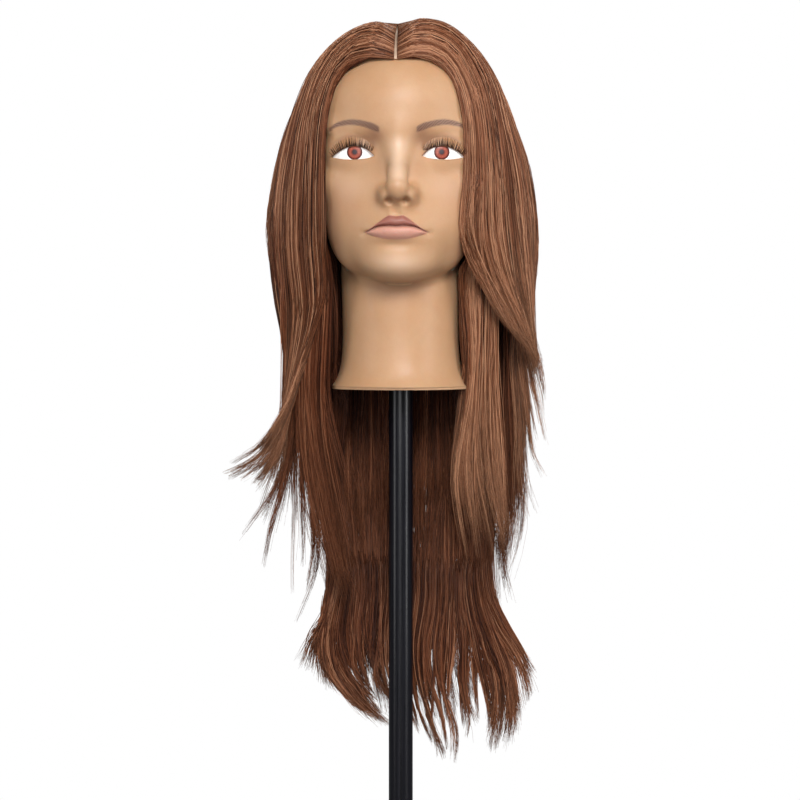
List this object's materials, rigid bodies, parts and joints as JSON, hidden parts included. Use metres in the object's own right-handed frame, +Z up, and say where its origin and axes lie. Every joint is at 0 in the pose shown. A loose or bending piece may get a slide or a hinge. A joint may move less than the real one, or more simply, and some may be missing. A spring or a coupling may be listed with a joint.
{
  "type": "mannequin training head",
  "caption": "Hairdresser's practice head with long rooted hair, standing on a round holder pole that it turns on and lifts off.",
  "frame": {"origin": "centre of the holder pole's lower end, which goes into a clamp or a stand", "axes": "+Z up along the pole; the face looks towards -Y; +X is to the right of somebody facing the head"},
  "size_m": [0.2663, 0.2178, 0.6725],
  "materials": {
    "vinyl_skin": "satin",
    "scalp_skin": "matte",
    "eye_white": "gloss",
    "iris": "gloss",
    "pupil": "gloss",
    "lash": "matte",
    "hair": "satin",
    "foam": "matte",
    "base_plastic": "satin",
    "socket_plastic": "matte",
    "black_enamel": "gloss",
    "nylon": "satin",
    "o_ring": "satin",
    "steel": "satin"
  },
  "bodies": {
    "holder": {"pole": "black_enamel", "pole_foot_plug": "nylon", "pole_top_plug": "nylon", "swivel_washer": "steel", "swivel_screw": "steel"},
    "swivel": {"swivel_adaptor": "socket_plastic", "adaptor_o_rings": "o_ring"},
    "head": {"socket_tube": "socket_plastic", "socket_cap": "socket_plastic", "neck_base_plate": "base_plastic", "base_screws": "steel", "head_shell": "vinyl_skin", "foam_core": "foam", "scalp_cap": "scalp_skin", "eye_left": "eye_white", "eye_right": "eye_white", "iris_left": "iris", "iris_right": "iris", "pupil_left": "pupil", "pupil_right": "pupil", "eyelash_left": "lash", "eyelash_right": "lash", "hair_crown_left": "hair", "hair_crown_right": "hair", "hair_crown_back": "hair", "hair_front_left": "hair", "hair_side_left": "hair", "hair_front_right": "hair", "hair_side_right": "hair", "hair_panel_right": "hair", "hair_layer_right": "hair", "hair_back_left": "hair", "hair_back_middle": "hair", "hair_back_right": "hair", "hair_tips_1": "hair", "hair_tips_2": "hair", "hair_tips_3": "hair", "hair_tips_4": "hair", "hair_tips_5": "hair", "hair_tips_6": "hair"}
  },
  "joints": [
    {"name": "head_swivel", "type": "hinge", "parent": "holder", "child": "swivel", "pos_m": [0, 0, 0.458], "axis": [0, 0, 1], "continuous": true},
    {"name": "head_lift", "type": "slide", "parent": "swivel", "child": "head", "axis": [0, 0, 1], "range_m": [0, 0.1]}
  ]
}
